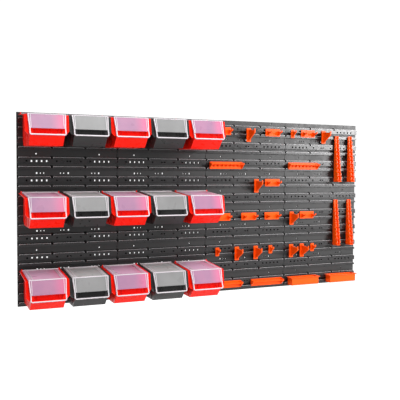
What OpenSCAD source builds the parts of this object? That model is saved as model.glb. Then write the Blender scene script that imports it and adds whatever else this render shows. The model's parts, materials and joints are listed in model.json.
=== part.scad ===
// Modular pegboard tool wall: eight moulded panels with rails, three rows of
// lidded bins and a set of plug-in tool holders.
// Millimetres. X to the right, Z up, the front faces -Y.
// The origin is the centre of the wall's back face.

/* [Wall] */
// Width of one panel
panel_w = 400; // [396:1:420]
// Distance from one rail to the next
rail_pitch = 76; // [76:1:80]
// Depth of the rails in front of the wall behind
rail_d = 17; // [16:0.5:20]
// Thickness of the moulded sheet
sheet = 2.7; // [2:0.1:3]

/* [Bins] */
// Width of a bin over its rims
bin_w = 159.2; // [150:0.1:159.2]
// Distance from one bin to the next
bin_pitch = 160; // [160:1:164]
// Width of a bin's body below the rims
bin_body_w = 125.4; // [110:0.1:128]
// Depth of a bin's body below its rear rim
bin_h = 123.8; // [110:0.1:124]
// Thickness of a bin's walls
bin_wall = 2.5; // [2:0.1:3]

/* [Lids] */
// Width of a lid
lid_w = 139; // [135:0.1:139.4]
// Thickness of a lid
lid_t = 2; // [1.6:0.1:2.2]
// Radius of a lid's hinge bar and pins
pin_r = 2.5; // [2:0.1:2.5]
// Radial play of the pins in the bin's ears
pin_play = 0.08; // [0.05:0.01:0.1]

/* [Holders] */
// Thickness of a holder's back plate
plate_t = 3; // [2.5:0.1:4]
// Thickness of a hook's arm
arm_t = 5; // [4:0.5:6]
// Radius of the peg that plugs into a rail
peg_r = 3; // [2.5:0.1:3.1]
// Width of a wrench rack
rack_w = 19; // [16:0.5:24]
// Height of a wrench rack
rack_h = 218; // [200:1:218]

/* [Hidden] */
$fn = 32;
columns = 4;
rails = 5;
panel_h = rails * rail_pitch;
wall_left = -columns * panel_w / 2;
wall_top = panel_h;

// Panel section, as distances below the top of a rail pitch
floor_y = -8;
lip_t = 2.5;
wide_lip = 20.5;
wide_bottom = 44.8;
narrow_lip = 56.5;
narrow_bottom = 69.2;
lip_h = 6;
lip_round = 1;
rib = 6;
seam = 1.6;

// Hole rows and the places of the holes along a panel
wide_row = 36.6;
recess_row = 7.8;
hole = 7;
centre_hole = 6.4;
screw_r = 3;
peg_x = [36, 55.4, 74.8, 94.2, 113.6, 152, 194, 206, 248, 286.4, 305.8, 325.2, 344.6, 364];
round_pegs = [5, 8];
blind_pegs = [0, 6, 7, 9];
centre_pegs = [6, 7];
open_columns = 2;
hole_depth = 11;
screw_x = [74, 326];
small_x = [76, 90.4, 103.2, 168.8, 181.6, 200, 295.2, 308, 324];
big_small = [76, 200, 324];
small_hole = 4.4;
big_small_hole = 6.4;
boss_h = 12;
boss_y = -0.4;

// Bin section: rim, front edge and label strip
bin_back = -rail_d - 0.3;
rim_z = -9.4;
rim_front = [-185.5, -21.4];
wing_foot = [-200, -92.8];
strip_foot = [-205, -95];
strip_head = [-202, -72];
bin_floor = rim_z - bin_h;
floor_front = -167.4;
back_round = 30;
rim_t = 2.6;
side_ribs = [-50, -100, -150];
side_rib_w = 4;
side_rib_h = 1.5;
rim_slope = (rim_z - rim_front[1]) / (bin_back - rim_front[0]);
wing_a = atan((rim_front[0] - wing_foot[0]) / (rim_front[1] - wing_foot[1]));
wing_l = norm(rim_front - wing_foot);
rim_l = norm([bin_back, rim_z] - rim_front);
strip_a = atan((strip_head[0] - strip_foot[0]) / (strip_head[1] - strip_foot[1]));
strip_l = norm(strip_head - strip_foot);
bin_rows = 3;
bin_columns = 5;
bin_row_rails = 4;
first_bin = wall_left + 85.4;

// Lid: hinge axis, fold and handle loop
hinge_y = -25;
hinge_z = -7;
ear_x = 70;
ear_t = 4;
lid_gap = 0.8;
fold_y = -188.4;
fold_z = rim_z + rim_slope * (fold_y - bin_back) + lid_gap + lid_t;
top_a = atan(rim_slope);
top_l = (hinge_y - fold_y) / cos(top_a);
leaf_a = 21.4;
leaf_l = 84;
loop_w = 124;
loop_top = 57;
loop_h = 22.5;
frame_x = 53;
frame_w = 3.4;
foot_w = lid_w - 6;
foot_corner = 8;
border = 3.2;
border_in = 0.8;
bead_r = 2;
bead_in = 0.8;
fold_sum = [sin(top_a) + cos(leaf_a), -cos(top_a) - sin(leaf_a)];
fold_in = fold_sum / norm(fold_sum);
loop_frame = leaf_l - loop_top + 5;

// Holders: rail row, panel column and peg hole of each one
plate_top = 31;
large_hooks = [[[0, 2, 7], [0, 3, 7]], [[3, 2, 8]], [[5, 3, 0]], [[7, 2, 5], [7, 2, 8], [7, 3, 0], [7, 3, 3]]];
large_names = ["top", "upper", "middle", "lower"];
small_hooks = [[[0, 3, 0]], [[7, 2, 1], [7, 2, 11], [7, 3, 5]]];
small_names = ["top", "lower"];
double_hooks = [[[0, 2, 2], [0, 2, 11], [0, 3, 4]], [[3, 2, 11]], [[5, 2, 2], [5, 2, 7], [5, 2, 11], [5, 3, 4]]];
double_names = ["top", "upper", "middle"];
bars = [[2, 2, 3], [2, 3, 3]];
shelves = [[9, 2, 3], [9, 2, 10]];
trays = [[9, 3, 3], [9, 3, 10]];
holder_names = ["left", "right"];
rack_x = [279, 355.5];
rack_rail = [0, 4];
rack_names = ["upper_inner", "upper_outer", "lower_inner", "lower_outer"];

holder_color = [1.0, 0.33, 0.04];
lid_color = [0.85, 0.83, 0.88, 0.6];
bin_colors = [[0.82, 0.07, 0.06], [0.13, 0.13, 0.14]];

row_names = ["top", "middle", "bottom"];

// An outline in the side view (Y, Z), drawn out along X and centred on it.
module side_extrude(width) {
    translate([-width / 2, 0, 0])
        rotate([90, 0, 90])
            linear_extrude(width)
                children();
}

// An outline in a plane that leans back by angle a, hung from its top edge at
// (y, z). Thickness grows towards the viewer.
module leaning(y, z, a) {
    translate([0, y, z])
        rotate([90 - a, 0, 0])
            children();
}

// Side view of a sheet of thickness t that runs down from its rear end with
// slope angle a, folds at point fold and runs on for length l at angle b from
// upright.
function folded(rear_l, fold, l, a, b, t) =
    let (
        rearwards = [cos(a), sin(a)],
        down = [-sin(b), -cos(b)],
        under = [sin(a), -cos(a)],
        behind = [cos(b), -sin(b)]
    ) [
        fold + rear_l * rearwards,
        fold,
        fold + l * down,
        fold + l * down + t * behind,
        fold + t * (under + behind) / (1 + under * behind),
        fold + rear_l * rearwards + t * under
    ];

module rounded_rect(w, h, r) {
    square([w, h - 2 * r], center = true);
    square([w - 2 * r, h], center = true);
    for (x = [-1, 1], y = [-1, 1])
        translate([x * (w / 2 - r), y * (h / 2 - r)])
            circle(r);
}

// ---------------------------------------------------------------- panels

function rail_front(i) = [for (p = [
    [floor_y, wide_lip + lip_h],
    [-rail_d + lip_t, wide_lip + lip_h],
    [-rail_d + lip_t, wide_lip],
    [-rail_d + lip_round, wide_lip],
    [-rail_d, wide_lip + lip_round],
    [-rail_d, wide_bottom],
    [floor_y, wide_bottom],
    [floor_y, narrow_lip + lip_h],
    [-rail_d + lip_t, narrow_lip + lip_h],
    [-rail_d + lip_t, narrow_lip],
    [-rail_d + lip_round, narrow_lip],
    [-rail_d, narrow_lip + lip_round],
    [-rail_d, narrow_bottom],
    [floor_y, narrow_bottom]
]) [p[0], -p[1] - i * rail_pitch]];

function rail_back(i) = [for (p = [
    [floor_y + sheet, narrow_bottom - sheet],
    [-rail_d + sheet, narrow_bottom - sheet],
    [-rail_d + sheet, narrow_lip + lip_h + sheet],
    [floor_y + sheet, narrow_lip + lip_h + sheet],
    [floor_y + sheet, wide_bottom - sheet],
    [-rail_d + hole_depth, wide_bottom - sheet],
    [-rail_d + hole_depth, wide_row - hole],
    [-rail_d + sheet, wide_row - hole],
    [-rail_d + sheet, wide_lip + lip_h + sheet],
    [floor_y + sheet, wide_lip + lip_h + sheet],
    [floor_y + sheet, recess_row + boss_h / 2],
    [boss_y, recess_row + boss_h / 2],
    [boss_y, recess_row - boss_h / 2],
    [floor_y + sheet, recess_row - boss_h / 2]
]) [p[0], -p[1] - i * rail_pitch]];

panel_section = concat(
    [[floor_y, 0]],
    [for (i = [0:rails - 1], p = rail_front(i)) p],
    [[floor_y, -panel_h], [floor_y + sheet, -panel_h]],
    [for (i = [rails - 1:-1:0], p = rail_back(i)) p],
    [[floor_y + sheet, 0]]
);

// A gap in a rail's lip, wide at the top
module lip_gap(x, z) {
    translate([x, -rail_d + lip_t + 0.5, z])
        rotate([90, 0, 0])
            linear_extrude(lip_t + 1.5)
                polygon([[-7, 1], [-7, 0], [-2.5, -lip_h], [2.5, -lip_h], [7, 0], [7, 1]]);
}

module square_hole(x, z, size, depth = rail_d + 1) {
    translate([x - size / 2, -rail_d - 1, z - size / 2])
        cube([size, depth + 1, size]);
}

module round_hole(x, z, r, depth = rail_d + 1) {
    translate([x, -rail_d + depth, z])
        rotate([90, 0, 0])
            cylinder(h = depth + 1, r = r);
}

// One hole of the row along a wide rail. The round ones and some of the square
// ones are blind, and in a closed panel all of them are.
module peg_hole(k, z, closed) {
    blind = hole_depth - 2;
    size = len(search(k, centre_pegs)) > 0 ? centre_hole : hole;
    if (len(search(k, round_pegs)) > 0)
        round_hole(peg_x[k], z, hole / 2, blind);
    else if (closed || len(search(k, blind_pegs)) > 0)
        square_hole(peg_x[k], z, size, blind);
    else
        square_hole(peg_x[k], z, size);
}

// The frame of ribs that stands on the wall behind
module stand_off() {
    difference() {
        translate([0, floor_y + sheet - 0.3, -panel_h])
            cube([panel_w, -floor_y - sheet + 0.3, panel_h]);
        translate([rib, -rail_d, -panel_h + rib])
            cube([panel_w - 2 * rib, rail_d + 1, panel_h - 2 * rib]);
    }
}

module panel(column, upper) {
    translate([wall_left + column * panel_w, 0, upper ? wall_top : 0])
        color([0.2, 0.19, 0.2])
            difference() {
                union() {
                    translate([panel_w / 2, 0, 0])
                        side_extrude(panel_w - seam)
                            polygon(panel_section);
                    stand_off();
                }
                for (i = [0:rails - 1]) {
                    z = -i * rail_pitch;
                    for (x = [0:3], lip = [wide_lip, narrow_lip])
                        lip_gap(x * panel_w / 3, z - lip);
                    for (k = [0:len(peg_x) - 1])
                        peg_hole(k, z - wide_row, column >= open_columns);
                    if (i % 2 == 0)
                        for (x = screw_x)
                            round_hole(x, z - recess_row, screw_r);
                    else
                        for (x = small_x)
                            square_hole(x, z - recess_row, len(search(x, big_small)) > 0 ? big_small_hole : small_hole);
                }
            }
}

// ------------------------------------------------------------------ bins

module bin_body() {
    inner = bin_wall;
    difference() {
        side_extrude(bin_body_w) {
            polygon([
                [bin_back, rim_z],
                [bin_back, bin_floor + back_round],
                [bin_back - back_round, bin_floor],
                [floor_front, bin_floor],
                strip_foot,
                strip_head,
                rim_front
            ]);
            translate([bin_back - back_round, bin_floor + back_round])
                circle(back_round, $fn = 64);
        }
        side_extrude(bin_body_w - 2 * inner) {
            polygon([
                [bin_back - inner, rim_z + 5],
                [bin_back - inner, bin_floor + back_round],
                [bin_back - back_round, bin_floor + inner],
                [floor_front + 1, bin_floor + inner],
                [strip_foot[0] + inner, strip_foot[1] + 1],
                [strip_head[0] + inner, strip_head[1]],
                [strip_head[0] - 40, strip_head[1]],
                [strip_head[0] - 40, rim_z + 5]
            ]);
            translate([bin_back - back_round, bin_floor + back_round])
                circle(back_round - inner, $fn = 64);
        }
    }
}

// Rims and front wings of both sides, with the ears for the lid's pins
module bin_rims() {
    for (side = [0, 1])
        mirror([side, 0, 0]) {
            inner_x = bin_body_w / 2 - bin_wall;
            rim_w = bin_w / 2 - inner_x;
            difference() {
                translate([inner_x + rim_w / 2, 0, 0])
                    side_extrude(rim_w)
                        polygon(folded(rim_l, rim_front, wing_l, top_a, wing_a, rim_t));
                leaning(rim_front[0], rim_front[1], wing_a)
                    translate([0, 0, -rim_t - 1])
                        linear_extrude(rim_t + 2)
                            polygon([
                                [bin_w / 2 + 1, -wing_l + 12],
                                [bin_w / 2, -wing_l + 12],
                                [bin_w / 2 - 10, -wing_l],
                                [bin_w / 2 - 10, -wing_l - 1],
                                [bin_w / 2 + 1, -wing_l - 1]
                            ]);
            }
            translate([ear_x + ear_t / 2, 0, 0])
                side_extrude(ear_t)
                    difference() {
                        union() {
                            translate([hinge_y, hinge_z])
                                circle(pin_r + 2);
                            translate([hinge_y - pin_r - 2, rim_z - 1.6])
                                square([2 * pin_r + 4, hinge_z - rim_z + 1.6]);
                        }
                        translate([hinge_y, hinge_z])
                            circle(pin_r + pin_play);
                    }
        }
}

// Upright ribs that stiffen both sides, from the rim down
module bin_ribs() {
    bury = 0.5;
    foot = bin_floor + 4;
    for (side = [0, 1], y = side_ribs) {
        head = rim_z + rim_slope * (y - bin_back) - rim_t / 2;
        mirror([side, 0, 0])
            translate([bin_body_w / 2 - bury, y - side_rib_w / 2, foot])
                cube([side_rib_h + bury, side_rib_w, head - foot]);
    }
}

// The hook behind the bin that drops over a rail's lip
module bin_hook() {
    strip_t = 3;
    side_extrude(100) {
        translate([bin_back - 2, rim_z - strip_t])
            square([bin_back * -1 + 2 - 11, strip_t]);
        translate([-14, -wide_lip - lip_h + 0.3])
            square([3, wide_lip + lip_h - 0.3 + rim_z]);
    }
}

// A raised frame on the front strip that holds a label
module label_frame() {
    frame_h = strip_l - 6;
    leaning(strip_head[0], strip_head[1], strip_a)
        translate([0, -strip_l / 2, -0.5]) {
            linear_extrude(1.5)
                difference() {
                    square([108, frame_h], center = true);
                    square([104, frame_h - 4], center = true);
                }
            for (x = [-41, 41])
                translate([x - 2, -frame_h / 2 - 0.6, 0])
                    cube([4, frame_h + 1.2, 2.5]);
        }
}

module bin(row, column) {
    translate([first_bin + column * bin_pitch, 0, wall_top - row * bin_row_rails * rail_pitch])
        color(bin_colors[column % 2]) {
            bin_body();
            bin_rims();
            bin_ribs();
            bin_hook();
            label_frame();
        }
}

// ------------------------------------------------------------------ lids

// The lid's sheet: folded, with the front leaf narrower towards its foot
module lid_sheet() {
    difference() {
        side_extrude(lid_w)
            polygon(folded(top_l, [fold_y, fold_z], leaf_l, top_a, leaf_a, lid_t));
        leaning(fold_y, fold_z, leaf_a)
            translate([0, 0, -lid_t - 1])
                linear_extrude(lid_t + 2)
                    difference() {
                        translate([-lid_w, -leaf_l - 5])
                            square([2 * lid_w, leaf_l]);
                        polygon([
                            [-lid_w / 2 - 1, -4],
                            [lid_w / 2 + 1, -4],
                            [lid_w / 2, -5],
                            [foot_w / 2, -leaf_l + loop_frame],
                            [-foot_w / 2, -leaf_l + loop_frame],
                            [-lid_w / 2, -5]
                        ]);
                        translate([0, -leaf_l + loop_frame])
                            rounded_rect(foot_w, 2 * loop_frame, foot_corner);
                    }
    }
}

// Raised lines that frame the window in the lid's top, and grips beside them
module lid_top_lines() {
    translate([0, fold_y, fold_z])
        rotate([top_a, 0, 0]) {
            translate([0, 0, -0.5])
                linear_extrude(1.6)
                    difference() {
                        translate([-frame_x - frame_w / 2, 0.4])
                            square([2 * frame_x + frame_w, top_l - 5]);
                        translate([-frame_x + frame_w / 2, 0.4 + frame_w])
                            square([2 * frame_x - frame_w, top_l - 5 - 2 * frame_w]);
                    }
            for (side = [-1, 1], i = [0:6])
                translate([side * 61.5 - 3, 12 + i * 21, -0.5])
                    cube([6, 9, 1.4]);
        }
}

// Raised borders along the leaf's sides, with a thin line inside each
module lid_front_lines() {
    edge = lid_w / 2 - border_in;
    foot = foot_w / 2 - border_in - 0.4;
    leaning(fold_y, fold_z, leaf_a)
        for (side = [0, 1])
            mirror([side, 0, 0])
                translate([0, 0, -0.5]) {
                    linear_extrude(1.9)
                        polygon([
                            [edge, -1],
                            [edge, -5],
                            [foot, -leaf_l + loop_frame],
                            [foot, -loop_top - 3],
                            [foot - border, -loop_top - 3],
                            [foot - border, -leaf_l + loop_frame],
                            [edge - border, -5],
                            [edge - border, -1]
                        ]);
                    translate([frame_x + 5, -loop_top + 1, 0])
                        cube([1.8, loop_top - 3, 1.3]);
                }
}

// The bead along the fold
module lid_bead() {
    half = lid_w / 2 - border_in - 0.3;
    translate([-half, fold_y + bead_in * fold_in[0], fold_z + bead_in * fold_in[1]])
        rotate([0, 90, 0])
            cylinder(h = 2 * half, r = bead_r);
}

// The thick rounded loop at the foot, which frames the bin's label
module lid_loop() {
    leaning(fold_y, fold_z, leaf_a)
        translate([0, -(leaf_l + loop_top) / 2, -0.5])
            linear_extrude(2.3)
                rounded_rect(foot_w - 2 * border_in, leaf_l - loop_top - 2 * border_in, foot_corner - border_in);
}

module lid_hinge() {
    translate([-ear_x - ear_t, hinge_y, hinge_z])
        rotate([0, 90, 0])
            cylinder(h = 2 * (ear_x + ear_t), r = pin_r);
}

module lid(row, column) {
    translate([first_bin + column * bin_pitch, 0, wall_top - row * bin_row_rails * rail_pitch])
        color(lid_color) {
            difference() {
                union() {
                    lid_sheet();
                    lid_loop();
                }
                leaning(fold_y, fold_z, leaf_a)
                    translate([0, -loop_top - loop_h / 2, -lid_t - 1])
                        linear_extrude(lid_t + 5)
                            rounded_rect(loop_w, loop_h, 2.5);
            }
            lid_top_lines();
            lid_front_lines();
            lid_bead();
            lid_hinge();
        }
}

// --------------------------------------------------------------- holders

// Puts a holder's peg into hole [rail row, panel column, hole]; the holder's
// own origin is the top of its plate on the rail's front, above the peg.
module plugged(place) {
    translate([
        wall_left + place[1] * panel_w + peg_x[place[2]],
        -rail_d,
        wall_top - place[0] * rail_pitch - plate_top
    ])
        color(holder_color)
            children();
}

module plate(w, h, shift = 0) {
    translate([shift, -plate_t, -h / 2])
        rotate([-90, 0, 0])
            linear_extrude(plate_t)
                rounded_rect(w, h, 2.5);
}

module peg() {
    translate([0, 8, plate_top - wide_row])
        rotate([90, 0, 0])
            cylinder(h = 8.5, r = peg_r);
}

// Arm of a hook: flat on top, a dip before the raised tip, and a slope below.
module arm(reach, tip_drop, tip_h, foot) {
    side_extrude(arm_t)
        polygon([
            [-plate_t + 0.5, -tip_drop - 2],
            [-reach + 12, -tip_drop - 6],
            [-reach + 3.5, -tip_drop - 5],
            [-reach + 1.5, -tip_drop],
            [-reach, -tip_drop],
            [-reach, -tip_drop - tip_h],
            [-plate_t + 0.5, -foot]
        ]);
}

module large_hook() {
    plate(21, 61);
    arm(60, 4.5, 18, 58);
    peg();
}

module small_hook() {
    plate(18, 38);
    arm(31, 4.5, 9, 35);
    peg();
}

module double_hook() {
    plate(75, 33, 5);
    for (x = [-22, 32])
        translate([x, 0, 0])
            arm(38, 8, 7, 30);
    peg();
}

// A shelf on its back plate, with a gusset at each end.
module shelf(drop, reach) {
    w = 160;
    h = 31;
    plate(w, h);
    translate([-w / 2, -reach, -drop - plate_t])
        cube([w, reach - plate_t + 0.5, plate_t]);
    for (x = [-w / 2 + 1.5, w / 2 - 1.5])
        translate([x, 0, 0])
            side_extrude(3)
                polygon([
                    [-plate_t + 0.5, -2],
                    [-reach, -drop + 2],
                    [-reach, -drop - plate_t],
                    [-plate_t + 0.5, -h + 1]
                ]);
    for (x = [-58.2, 58.2])
        translate([x, 0, 0])
            peg();
}

module screwdriver_bar() {
    drop = 8;
    reach = 26;
    difference() {
        shelf(drop, reach);
        for (i = [-3.5:1:3.5])
            translate([i * 19.4, -reach / 2 - 1.5, -drop - 10])
                cylinder(h = 20, r = 5);
    }
    for (i = [-3:3])
        translate([i * 19.4, 0, 0])
            side_extrude(2.5)
                polygon([
                    [-plate_t + 0.5, -drop - 1],
                    [-reach + 4, -drop - 1],
                    [-plate_t + 0.5, -drop - 15]
                ]);
}

module parts_tray() {
    w = 144;
    h = 37;
    reach = 38;
    wall = 2;
    difference() {
        union() {
            side_extrude(w)
                polygon([[0, 0], [0, -h], [-reach + 3, -h], [-reach, -h + 3], [-reach, 0]]);
            translate([-79, -42, -2.5])
                cube([158, 42, 2.5]);
        }
        translate([-w / 2 + wall, -reach + wall, -h + wall])
            cube([w - 2 * wall, reach - 2 * wall, h]);
    }
    for (x = [-58.2, 58.2])
        translate([x, 0, 0])
            peg();
}

// Two cheeks on a back strip, with slots that slant up and outwards, hung on
// the narrow rails' lips.
module wrench_rack(rail, x) {
    top = 2.5;
    slots = 11;
    slot_pitch = (rack_h - 28) / (slots - 1);
    cheek = 3.5;
    translate([x, -rail_d, wall_top - rail * rail_pitch - narrow_lip + top])
        color(holder_color) {
            difference() {
                side_extrude(rack_w)
                    polygon([
                        [0, 0],
                        [-7, 0],
                        [-9, -3],
                        [-37, -rack_h + 12],
                        [-38, -rack_h + 3],
                        [-35, -rack_h],
                        [0, -rack_h]
                    ]);
                translate([0, -3, 0])
                    side_extrude(rack_w - 2 * cheek)
                        polygon([[0, 1], [-50, 1], [-50, -rack_h + 4], [0, -rack_h + 4]]);
                for (i = [0:slots - 1])
                    translate([-rack_w, -5.5 - i * 2.2, -14 - i * slot_pitch])
                        rotate([35, 0, 0])
                            translate([0, -50, -2.5])
                                cube([2 * rack_w, 50, 5]);
            }
            for (lip = [0, 2])
                translate([-4, 0, -lip * rail_pitch]) {
                    translate([0, -2, -2.2])
                        cube([8, 7.5, 2.2]);
                    translate([0, lip_t + 0.3, -top - lip_h + 0.4])
                        cube([8, 2.7, lip_h + top - 0.4]);
                }
        }
}

module bar(place) {
    plugged(place) screwdriver_bar();
}

module long_shelf(place) {
    plugged(place) shelf(8, 26);
}

module tray(place) {
    plugged(place) parts_tray();
}

module hooks_large(places) {
    for (p = places)
        plugged(p) large_hook();
}

module hooks_small(places) {
    for (p = places)
        plugged(p) small_hook();
}

module hooks_double(places) {
    for (p = places)
        plugged(p) double_hook();
}

for (c = [0:columns - 1]) {
    panel(c, true);
    panel(c, false);
}
for (r = [0:bin_rows - 1], c = [0:bin_columns - 1]) {
    bin(r, c);
    lid(r, c);
}
for (i = [0:3])
    wrench_rack(rack_rail[floor(i / 2)], rack_x[i % 2] + panel_w);
for (i = [0:1]) {
    bar(bars[i]);
    long_shelf(shelves[i]);
    tray(trays[i]);
}
for (i = [0:2])
    hooks_double(double_hooks[i]);
for (i = [0:3])
    hooks_large(large_hooks[i]);
for (i = [0:1])
    hooks_small(small_hooks[i]);
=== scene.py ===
import json
import math

import bpy
from mathutils import Matrix, Vector


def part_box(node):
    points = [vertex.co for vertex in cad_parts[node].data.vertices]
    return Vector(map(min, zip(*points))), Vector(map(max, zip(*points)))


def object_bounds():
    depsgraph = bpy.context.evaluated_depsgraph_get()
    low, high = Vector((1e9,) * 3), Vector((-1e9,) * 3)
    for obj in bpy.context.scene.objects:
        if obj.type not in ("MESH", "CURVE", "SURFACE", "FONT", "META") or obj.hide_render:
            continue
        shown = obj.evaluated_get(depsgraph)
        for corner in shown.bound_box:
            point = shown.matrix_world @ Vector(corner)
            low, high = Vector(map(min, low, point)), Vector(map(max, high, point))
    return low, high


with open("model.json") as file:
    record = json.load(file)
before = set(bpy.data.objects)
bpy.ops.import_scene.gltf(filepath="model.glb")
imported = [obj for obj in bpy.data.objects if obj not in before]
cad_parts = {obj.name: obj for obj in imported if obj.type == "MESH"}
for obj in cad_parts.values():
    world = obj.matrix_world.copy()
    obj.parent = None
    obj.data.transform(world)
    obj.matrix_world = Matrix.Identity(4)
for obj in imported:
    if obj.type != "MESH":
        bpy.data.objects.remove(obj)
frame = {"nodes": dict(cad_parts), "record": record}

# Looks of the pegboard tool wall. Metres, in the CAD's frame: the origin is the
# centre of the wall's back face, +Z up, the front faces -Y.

CAD_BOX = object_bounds()
MM = 0.001

# Where most of a noise texture's values lie
NOISE_SPAN = (0.3, 0.7)

# Distances below the top of a rail pitch, and sizes of the lips, in millimetres
WIDE_LIP = 20.5
NARROW_LIP = 56.5
HOLE_ROW = (33, 40.2)
SMALL_ROW = (4.4, 11.2)
LIP_HEIGHT = 6
CHANNEL_HEIGHT = 6.5
GAP_HALF = 7
GAP_SIDE_NORMAL = (0.8, 0.6)
LINE_WIDTH = 1.9

# The painted shade inside a gap reaches this far above and below the lip's upper
# edge and to each side of the gap's middle, in millimetres
NOTCH_ABOVE = 4.5
NOTCH_BELOW = 7.5
NOTCH_HALF = 5

# Depths of the panels' parts along Y, in millimetres: the rails' insides, the
# small holes' walls, and the limits of the recesses and of the rails' fronts
RAIL_INSIDE = (-16.9, -7.5)
SMALL_INSIDE = (-7.7, -0.7)
RECESS_DEPTH = -12
FRONT_DEPTH = -14.2

# How far a face looks up for the painted highlight, or down for the painted shade under a rail
HIGHLIGHT_UP = 0.3
UNDER_UP = -0.4

# The field of a bin's label frame, where shade is painted: across the bin, below
# the top of its row, and its depth, in millimetres
LABEL_ACROSS = (-53, 53)
LABEL_DOWN = (75.5, 91.5)
LABEL_DEPTH = (-209.5, -199.5)

# Where the lit red side of the bin is painted into a lid's colour, across the bin, in millimetres
PINK_FROM = 5
PINK_TO = 75


# ------------------------------------------------------------------ materials

def node_tree(name):
    """A new material with its Principled shader; returns (material, tree, shader)."""
    material = bpy.data.materials.new(name)
    material.use_nodes = True
    tree = material.node_tree
    return material, tree, tree.nodes["Principled BSDF"]


def add(tree, kind, **values):
    """Adds a node and sets its inputs by name."""
    node = tree.nodes.new(kind)
    for key, value in values.items():
        node.inputs[key.replace("_", " ")].default_value = value
    return node


def object_coords(tree):
    return tree.nodes.new("ShaderNodeTexCoord").outputs["Object"]


def split(tree, vector):
    """The X, Y and Z sockets of a vector."""
    node = tree.nodes.new("ShaderNodeSeparateXYZ")
    tree.links.new(vector, node.inputs["Vector"])
    return node.outputs["X"], node.outputs["Y"], node.outputs["Z"]


def noise(tree, coords, scale, detail):
    node = add(tree, "ShaderNodeTexNoise", Scale=scale, Detail=detail)
    tree.links.new(coords, node.inputs["Vector"])
    return node.outputs["Fac"]


def mottled(tree, value, dark, light):
    """Maps a noise to the colours dark to light."""
    node = tree.nodes.new("ShaderNodeValToRGB")
    for stop, position, colour in zip(node.color_ramp.elements, NOISE_SPAN, (dark, light)):
        stop.position = position
        stop.color = (*colour, 1)
    tree.links.new(value, node.inputs["Fac"])
    return node.outputs["Color"]


def remap(tree, value, span, result, kind="LINEAR"):
    """Maps the span of a value to another one, and stops at its ends."""
    node = tree.nodes.new("ShaderNodeMapRange")
    node.interpolation_type = kind
    for name, limit in zip(("From Min", "From Max", "To Min", "To Max"), (*span, *result)):
        node.inputs[name].default_value = limit
    tree.links.new(value, node.inputs["Value"])
    return node.outputs["Result"]


def scaled(tree, coords, x, y, z):
    node = tree.nodes.new("ShaderNodeMapping")
    node.inputs["Scale"].default_value = (x, y, z)
    tree.links.new(coords, node.inputs["Vector"])
    return node.outputs["Vector"]


def bump(tree, height, depth, normal=None):
    node = add(tree, "ShaderNodeBump", Strength=1.0, Distance=depth)
    tree.links.new(height, node.inputs["Height"])
    if normal is not None:
        tree.links.new(normal, node.inputs["Normal"])
    return node.outputs["Normal"]


def moulded(name, dark, light, rough, grain, grain_depth, wave_depth, specular=0.5):
    """Moulded plastic: faint flow marks in its colour, patches of polish, a fine
    grain and the slow waviness of a moulded wall."""
    material, tree, shader = node_tree(name)
    coords = object_coords(tree)
    flow = noise(tree, scaled(tree, coords, 6, 9, 14), 1.0, 4)
    tree.links.new(mottled(tree, flow, dark, light), shader.inputs["Base Color"])
    patches = noise(tree, coords, 55.0, 4)
    tree.links.new(remap(tree, patches, NOISE_SPAN, rough), shader.inputs["Roughness"])
    wavy = bump(tree, noise(tree, coords, 28.0, 1), wave_depth)
    fine = bump(tree, noise(tree, coords, grain, 2), grain_depth, wavy)
    tree.links.new(fine, shader.inputs["Normal"])
    shader.inputs["Specular IOR Level"].default_value = specular
    return material


def calc(tree, operation, *values):
    """A Math node on sockets and plain numbers."""
    node = tree.nodes.new("ShaderNodeMath")
    node.operation = operation
    for socket, value in zip(node.inputs, values):
        if isinstance(value, bpy.types.NodeSocket):
            tree.links.new(value, socket)
        else:
            socket.default_value = value
    return node.outputs["Value"]


def joined(tree, operation, *masks):
    """Folds masks with one Math operation: MAXIMUM for any of them, MULTIPLY for
    all of them."""
    result = masks[0]
    for mask in masks[1:]:
        result = calc(tree, operation, result, mask)
    return result


def between(tree, length, low, high):
    """1 where a length in metres lies between two limits in millimetres."""
    return calc(tree, "COMPARE", length, (low + high) / 2 * MM, (high - low) / 2 * MM)


def tinted(tree, mask, colour, tint, blend="MIX"):
    """Lays a tint over a colour where the mask is 1."""
    node = tree.nodes.new("ShaderNodeMix")
    node.data_type = "RGBA"
    node.blend_type = blend
    factor, first, second = node.inputs[0], node.inputs[6], node.inputs[7]
    tree.links.new(mask, factor)
    tree.links.new(colour, first)
    second.default_value = (*tint, 1)
    return node.outputs[2]


def lip_line(tree, sideways, below, lip):
    """1 on a thin line along a lip's upper edge and down both sides of its gaps, where a highlight is
    painted.
    Sideways is the distance from the nearest gap's middle."""
    down = calc(tree, "SUBTRACT", below, lip * MM)
    out, along = GAP_SIDE_NORMAL
    from_gap = calc(tree, "MULTIPLY_ADD", sideways, out, -out * GAP_HALF * MM)
    from_slant = calc(tree, "MULTIPLY_ADD", down, along, from_gap)
    inside = calc(tree, "MINIMUM", down, from_slant)
    line = between(tree, inside, 0, LINE_WIDTH)
    on_lip = between(tree, down, 0, LIP_HEIGHT)
    return calc(tree, "MULTIPLY", line, on_lip)


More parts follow.
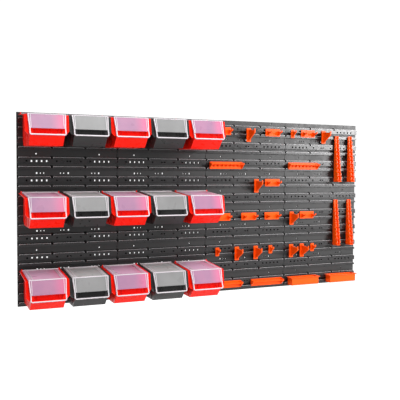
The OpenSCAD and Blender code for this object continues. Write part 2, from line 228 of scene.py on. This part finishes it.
def finish_rails(material, pitch, gap_pitch):
    """The panels' rails: painted shade, near black, inside the holes, the gaps and
    the channels behind the lips; painted shade and a duller finish in the recesses;
    a painted highlight along the upper edges of the lips; dark painted shade under the rails."""
    tree = material.node_tree
    shader = tree.nodes["Principled BSDF"]
    along, depth, height = split(tree, object_coords(tree))
    up = split(tree, tree.nodes.new("ShaderNodeNewGeometry").outputs["Normal"])[2]
    below = calc(tree, "WRAP", calc(tree, "MULTIPLY", height, -1.0), pitch, 0.0)
    sideways = calc(tree, "PINGPONG", along, gap_pitch / 2)
    lips = (WIDE_LIP, NARROW_LIP)

    channels = [between(tree, below, lip, lip + CHANNEL_HEIGHT) for lip in lips]
    rows = joined(tree, "MAXIMUM", *channels, between(tree, below, *HOLE_ROW))
    inside = calc(tree, "MULTIPLY", rows, between(tree, depth, *RAIL_INSIDE))
    edges = [between(tree, below, lip - NOTCH_ABOVE, lip + NOTCH_BELOW) for lip in lips]
    notches = joined(
        tree, "MULTIPLY",
        joined(tree, "MAXIMUM", *edges),
        calc(tree, "LESS_THAN", sideways, NOTCH_HALF * MM),
        calc(tree, "LESS_THAN", depth, RAIL_INSIDE[1] * MM))
    small = calc(tree, "MULTIPLY", between(tree, below, *SMALL_ROW), between(tree, depth, *SMALL_INSIDE))
    # Painted shade: near black inside the holes, the gaps and the channels behind the lips
    black = joined(tree, "MAXIMUM", inside, notches, small)

    # The recesses get painted shade in their colour (half as bright) and a rougher finish
    recess = calc(tree, "GREATER_THAN", depth, RECESS_DEPTH * MM)
    # Painted highlight: pale lines along the lips' upper edges and down the sides of their gaps, and on
    # front faces that look up
    lines = [lip_line(tree, sideways, below, lip) for lip in lips]
    painted_highlight = joined(tree, "MAXIMUM", calc(tree, "GREATER_THAN", up, HIGHLIGHT_UP), *lines)
    edge = calc(tree, "MULTIPLY", painted_highlight, calc(tree, "LESS_THAN", depth, FRONT_DEPTH * MM))
    # Painted shade: near black on faces that look down, under the rails
    under_rail_shade = calc(tree, "LESS_THAN", up, UNDER_UP)

    # Lays the painted shade, the painted highlight and the near-black painted shade in holes and gaps
    # over the plastic's colour
    colour = shader.inputs["Base Color"].links[0].from_socket
    colour = tinted(tree, recess, colour, (0.5, 0.5, 0.5), "MULTIPLY")
    colour = tinted(tree, edge, colour, (0.40, 0.39, 0.40))
    colour = tinted(tree, under_rail_shade, colour, (0.003, 0.003, 0.003))
    colour = tinted(tree, black, colour, (0.001, 0.001, 0.001))
    tree.links.new(colour, shader.inputs["Base Color"])

    rough = shader.inputs["Roughness"].links[0].from_socket
    rough = calc(tree, "MULTIPLY_ADD", recess, 0.16, rough)
    rough = joined(tree, "MAXIMUM", rough, black, under_rail_shade)
    tree.links.new(rough, shader.inputs["Roughness"])


def clear_lid(name, dark, light, cover):
    """Frosted clear plastic, with flow marks and a slow waviness; cover is how
    much of what lies behind it hides."""
    material, tree, shader = node_tree(name)
    coords = object_coords(tree)
    cloud = noise(tree, scaled(tree, coords, 14, 8, 10), 1.0, 3)
    tree.links.new(mottled(tree, cloud, dark, light), shader.inputs["Base Color"])
    patches = noise(tree, coords, 20.0, 2)
    tree.links.new(remap(tree, patches, NOISE_SPAN, (0.26, 0.34)), shader.inputs["Roughness"])
    wavy = bump(tree, noise(tree, coords, 12.0, 1), 0.12 * MM)
    shader.inputs["IOR"].default_value = 1.49
    shader.inputs["Alpha"].default_value = cover
    shader.inputs["Specular IOR Level"].default_value = 0.3
    tree.links.new(wavy, shader.inputs["Normal"])
    return material


MATERIALS = {
    "panel_plastic": moulded(
        "panel_plastic", (0.006, 0.0054, 0.006), (0.011, 0.010, 0.011), (0.25, 0.36),
        2200.0, 0.02 * MM, 0.3 * MM),
    "bin_red": moulded(
        "bin_red", (0.76, 0.008, 0.002), (0.88, 0.012, 0.003), (0.24, 0.34),
        2600.0, 0.012 * MM, 0.08 * MM, 0.12),
    "bin_black": moulded(
        "bin_black", (0.022, 0.022, 0.022), (0.032, 0.032, 0.032), (0.26, 0.38),
        2600.0, 0.012 * MM, 0.08 * MM, 0.25),
    "holder_plastic": moulded(
        "holder_plastic", (0.80, 0.072, 0.002), (0.88, 0.092, 0.003), (0.28, 0.40),
        2600.0, 0.012 * MM, 0.12 * MM, 0.15),
    # The lids' colours are painted light from the bin behind: pink over red, grey over black. Their tops
    # are painted lighter for the light and reflection they catch, and their raised lines pale, a painted
    # highlight
    "lid_over_red": clear_lid("lid_over_red", (0.34, 0.19, 0.30), (0.42, 0.21, 0.32), 0.72),
    "lid_over_black": clear_lid("lid_over_black", (0.22, 0.22, 0.22), (0.26, 0.26, 0.26), 0.76),
    "lid_top_over_red": clear_lid("lid_top_over_red", (0.58, 0.36, 0.51), (0.66, 0.38, 0.53), 0.88),
    "lid_top_over_black": clear_lid("lid_top_over_black", (0.40, 0.40, 0.40), (0.46, 0.46, 0.46), 0.88),
    "lid_edge": clear_lid("lid_edge", (0.54, 0.50, 0.53), (0.62, 0.58, 0.61), 0.90),
}

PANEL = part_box("upper_panel_1")
RAILS = 5
GAPS = 3
finish_rails(
    MATERIALS["panel_plastic"],
    (PANEL[1].z - PANEL[0].z) / RAILS,
    (PANEL[1].x - PANEL[0].x) / GAPS)

# The bins repeat along the wall and down it
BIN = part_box("bin_top_1")
BIN_X = (BIN[0].x + BIN[1].x) / 2
BIN_PITCH = (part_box("bin_top_5")[0].x - BIN[0].x) / 4
ROW_PITCH = BIN[0].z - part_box("bin_middle_1")[0].z
WALL_TOP = PANEL[1].z


def in_bin(tree):
    """Places that start again in each bin: across from its middle, the depth
    along Y, and down from the top of its row."""
    x, depth, z = split(tree, object_coords(tree))
    from_first = calc(tree, "SUBTRACT", x, BIN_X)
    across = calc(tree, "WRAP", from_first, BIN_PITCH / 2, -BIN_PITCH / 2)
    down = calc(tree, "WRAP", calc(tree, "SUBTRACT", WALL_TOP, z), ROW_PITCH, 0.0)
    return across, depth, down


def label_field_shade(material, shade):
    """Paints shade over the field inside the label frame."""
    tree = material.node_tree
    shader = tree.nodes["Principled BSDF"]
    across, depth, down = in_bin(tree)
    field = joined(
        tree, "MULTIPLY",
        between(tree, across, *LABEL_ACROSS),
        between(tree, down, *LABEL_DOWN),
        between(tree, depth, *LABEL_DEPTH))
    colour = shader.inputs["Base Color"].links[0].from_socket
    colour = tinted(tree, field, colour, shade, "MULTIPLY")
    tree.links.new(colour, shader.inputs["Base Color"])


def pink_side(material):
    """Paints the lit red side of the bin, as seen through the lid, into the lid's colour on its right.
    """
    tree = material.node_tree
    shader = tree.nodes["Principled BSDF"]
    across = in_bin(tree)[0]
    near_side = remap(tree, across, (PINK_FROM * MM, PINK_TO * MM), (0.0, 0.8), "SMOOTHSTEP")
    colour = shader.inputs["Base Color"].links[0].from_socket
    colour = tinted(tree, near_side, colour, (0.75, 0.16, 0.30))
    tree.links.new(colour, shader.inputs["Base Color"])


# Painted shade over the label fields of the red and the black bins
label_field_shade(MATERIALS["bin_red"], (0.68, 0.2, 0.3))
label_field_shade(MATERIALS["bin_black"], (0.25, 0.25, 0.25))
# The lids over red bins get the lit red side painted into their colour
for name in ("lid_over_red", "lid_top_over_red"):
    pink_side(MATERIALS[name])

# ---------------------------------------------------------------------- pieces

SLOTS = {part["node"]: part["material_slot"] for part in frame["record"]["subparts"]}
PANEL_EDGE = 0.7 * MM
PIECE_EDGE = 0.5 * MM
PROUD = 0.3 * MM


def finish_edges(obj, width):
    """Rounds the edges of a moulded piece as a mould leaves them."""
    weld = obj.modifiers.new("weld", "WELD")
    weld.merge_threshold = 0.005 * MM
    bevel = obj.modifiers.new("edges", "BEVEL")
    bevel.width = width
    bevel.segments = 2
    bevel.limit_method = "ANGLE"
    bevel.angle_limit = math.radians(32)
    bevel.harden_normals = True


def sort_lid_faces(obj, top_slot, raised_slot):
    """Gives a lid's top its own slot, and another one to its raised lines, its
    loop, its hinge bar and its cut edges: what stands proud of the widest face of
    the top or of the front."""
    faces = obj.data.polygons
    top = max((face for face in faces if face.normal.z > 0.9), key=lambda face: face.area)
    front = max((face for face in faces if face.normal.y < -0.85), key=lambda face: face.area)
    for face in faces:
        height = max(sheet.normal.dot(face.center - sheet.center) for sheet in (top, front))
        if height > PROUD or abs(face.normal.x) > 0.7:
            face.material_index = raised_slot
        elif face.normal.z > 0.9:
            face.material_index = top_slot


for node, obj in frame["nodes"].items():
    obj.data.materials.clear()
    if node.startswith("lid"):
        behind = SLOTS[node.replace("lid", "bin")].replace("bin", "over")
        for name in ("lid_" + behind, "lid_top_" + behind, "lid_edge"):
            obj.data.materials.append(MATERIALS[name])
        sort_lid_faces(obj, top_slot=1, raised_slot=2)
    else:
        obj.data.materials.append(MATERIALS[SLOTS[node]])
    finish_edges(obj, PANEL_EDGE if "panel" in node else PIECE_EDGE)


# ---------------------------------------------------------------- floor, light

def plane(name, size, centre, material):
    half = size / 2
    corners = [(-half, -half, 0), (half, -half, 0), (half, half, 0), (-half, half, 0)]
    mesh = bpy.data.meshes.new(name)
    mesh.from_pydata(corners, [], [(0, 1, 2, 3)])
    mesh.materials.append(material)
    obj = bpy.data.objects.new(name, mesh)
    obj.location = centre
    bpy.context.scene.collection.objects.link(obj)
    return obj


FLOOR_SIZE = 60.0
FLOOR_CENTRE = (0, -2.0, CAD_BOX[0].z - 0.85)
GLOW_SPAN = (2.3, 3.1)
GLOW = 0.85
floor_material, floor_tree, floor_shader = node_tree("studio_floor")
floor_shader.inputs["Base Color"].default_value = (0.9, 0.9, 0.9, 1)
floor_shader.inputs["Roughness"].default_value = 0.9
floor_shader.inputs["Emission Color"].default_value = (1, 1, 1, 1)

# The floor glows towards its far parts, as a lit studio sweep does
far = floor_tree.nodes.new("ShaderNodeVectorMath")
far.operation = "LENGTH"
floor_tree.links.new(object_coords(floor_tree), far.inputs[0])
glow = remap(floor_tree, far.outputs["Value"], GLOW_SPAN, (0.0, GLOW))
floor_tree.links.new(glow, floor_shader.inputs["Emission Strength"])
plane("floor", FLOOR_SIZE, FLOOR_CENTRE, floor_material)


def softbox(name, place, target, width, height, power):
    light = bpy.data.lights.new(name, "AREA")
    light.shape = "RECTANGLE"
    light.size = width
    light.size_y = height
    light.energy = power
    obj = bpy.data.objects.new(name, light)
    obj.location = place
    obj.rotation_mode = "QUATERNION"
    obj.rotation_quaternion = (Vector(target) - Vector(place)).to_track_quat("-Z", "Y")
    bpy.context.scene.collection.objects.link(obj)


softbox("key", (2.9, -2.6, 0.95), (0.3, 0, 0.1), 1.3, 1.5, 180)
softbox("left_fill", (-2.6, -2.4, 0.3), (-0.5, 0, 0.1), 1.8, 1.8, 8)
softbox("top", (-0.3, -2.3, 3.5), (0, -0.1, 0), 2.4, 2.4, 166)
softbox("rim", (0.9, -0.1, 1.7), (0.2, 0, 0), 2.4, 0.35, 14)

# A white backdrop that lights the wall only faintly
WORLD_LIGHT = 0.2
WORLD_SEEN = 1.1
world = bpy.data.worlds.new("studio")
world.use_nodes = True
bpy.context.scene.world = world
studio = world.node_tree
studio.nodes["Background"].inputs["Color"].default_value = (1, 1, 1, 1)
studio.nodes["Background"].inputs["Strength"].default_value = WORLD_LIGHT
seen = add(studio, "ShaderNodeBackground", Color=(1, 1, 1, 1), Strength=WORLD_SEEN)
camera_ray = studio.nodes.new("ShaderNodeLightPath")
mix = studio.nodes.new("ShaderNodeMixShader")
studio.links.new(camera_ray.outputs["Is Camera Ray"], mix.inputs["Fac"])
studio.links.new(studio.nodes["Background"].outputs["Background"], mix.inputs[1])
studio.links.new(seen.outputs["Background"], mix.inputs[2])
studio.links.new(mix.outputs["Shader"], studio.nodes["World Output"].inputs["Surface"])
bpy.context.scene.view_settings.view_transform = "Standard"


# --------------------------------------------------------------------- camera

AZIMUTH = math.radians(-23.46)
DOWN = math.radians(2.87)
ROLL = math.radians(0.41)
EYE = Vector((-1.1068, -2.4998, 0.1652))
FOCAL_LENGTH = 55.9
SENSOR_WIDTH = 36.0

forward = Vector((
    -math.sin(AZIMUTH) * math.cos(DOWN),
    math.cos(AZIMUTH) * math.cos(DOWN),
    -math.sin(DOWN),
))
level = Vector((math.cos(AZIMUTH), math.sin(AZIMUTH), 0))
upright = level.cross(forward)
right = level * math.cos(ROLL) + upright * math.sin(ROLL)
up = upright * math.cos(ROLL) - level * math.sin(ROLL)
turn = Matrix((right, up, -forward)).transposed()

lens = bpy.data.cameras.new("camera")
lens.sensor_width = SENSOR_WIDTH
lens.lens = FOCAL_LENGTH
camera = bpy.data.objects.new("camera", lens)
camera.matrix_world = Matrix.Translation(EYE) @ turn.to_4x4()
bpy.context.scene.collection.objects.link(camera)
bpy.context.scene.camera = camera
